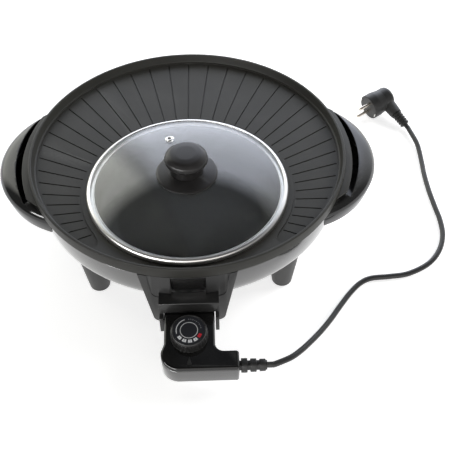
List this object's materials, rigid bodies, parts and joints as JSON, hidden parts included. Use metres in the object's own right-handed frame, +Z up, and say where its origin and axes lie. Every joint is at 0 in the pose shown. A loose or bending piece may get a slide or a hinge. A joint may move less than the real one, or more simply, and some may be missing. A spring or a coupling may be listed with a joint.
{
  "type": "electric table grill",
  "caption": "Round electric table grill with a fan-grooved crescent round a hot-pot well, glass lid, side handles, legs, plug-in dial control and mains cord.",
  "frame": {"origin": "on the table, at the middle of the space that the grill and its control take up without the cord", "axes": "+Z up, +Y away from the user, +X to the user's right; the control plugs in at the front and its cord leaves towards +X"},
  "size_m": [0.5674, 0.4948, 0.1632],
  "materials": {
    "nonstick_coating": "matte non-stick coating on cast aluminium",
    "gloss_plastic": "polished black",
    "satin_plastic": "satin black",
    "leg_plastic": "matte black",
    "knob_plastic": "satin black",
    "tempered_glass": "clear",
    "bright_steel": "bright",
    "aluminium_sheet": "mill finish",
    "brass": "bright",
    "pad_rubber": "matte",
    "cord_rubber": "satin black",
    "dial_print": "printed",
    "switch_ceramic": "unglazed"
  },
  "bodies": {
    "base": {"grill_pan": "nonstick_coating", "base_bowl": "gloss_plastic", "left_handle": "gloss_plastic", "right_handle": "gloss_plastic", "socket_guard": "satin_plastic", "front_left_leg": "leg_plastic", "front_right_leg": "leg_plastic", "rear_left_leg": "leg_plastic", "rear_right_leg": "leg_plastic", "heating_element": "bright_steel", "terminal_pin_left": "bright_steel", "terminal_pin_right": "bright_steel", "left_handle_screw_front": "bright_steel", "left_handle_screw_rear": "bright_steel", "right_handle_screw_front": "bright_steel", "right_handle_screw_rear": "bright_steel", "front_left_leg_screw": "bright_steel", "front_right_leg_screw": "bright_steel", "rear_left_leg_screw": "bright_steel", "rear_right_leg_screw": "bright_steel", "heat_reflector": "aluminium_sheet", "probe_sleeve": "aluminium_sheet", "front_left_foot_pad": "pad_rubber", "front_right_foot_pad": "pad_rubber", "rear_left_foot_pad": "pad_rubber", "rear_right_foot_pad": "pad_rubber", "terminal_block": "switch_ceramic"},
    "lid": {"glass_lid": "tempered_glass", "lid_rim_band": "bright_steel", "steam_vent_grommet": "bright_steel", "knob_flange": "knob_plastic", "lid_knob": "knob_plastic", "knob_screw": "bright_steel", "knob_washer": "pad_rubber"},
    "control": {"controller_lower_case": "gloss_plastic", "controller_upper_case": "gloss_plastic", "case_screw_1": "bright_steel", "case_screw_2": "bright_steel", "case_screw_3": "bright_steel", "contact_socket_left": "brass", "contact_socket_right": "brass", "probe_rod": "bright_steel", "thermostat_switch": "switch_ceramic", "bimetal_strip": "brass", "strain_relief": "cord_rubber", "power_cord": "cord_rubber", "plug_body": "cord_rubber", "plug_pin_lower": "bright_steel", "plug_pin_upper": "bright_steel", "earth_clip_back": "bright_steel", "earth_clip_front": "bright_steel"},
    "dial": {"controller_dial": "gloss_plastic", "dial_face_disc": "dial_print", "dial_spindle": "brass"}
  },
  "joints": [
    {"name": "lid_lift", "type": "slide", "parent": "base", "child": "lid", "axis": [0, 0, 1], "range_m": [0, 0.15]},
    {"name": "control_unplug", "type": "slide", "parent": "base", "child": "control", "axis": [0, -1, 0], "range_m": [0, 0.06]},
    {"name": "dial_turn", "type": "hinge", "parent": "control", "child": "dial", "pos_m": [0, -0.195, 0.05022], "axis": [0, -0.1045, 0.9945], "range_deg": [-135, 135]}
  ]
}
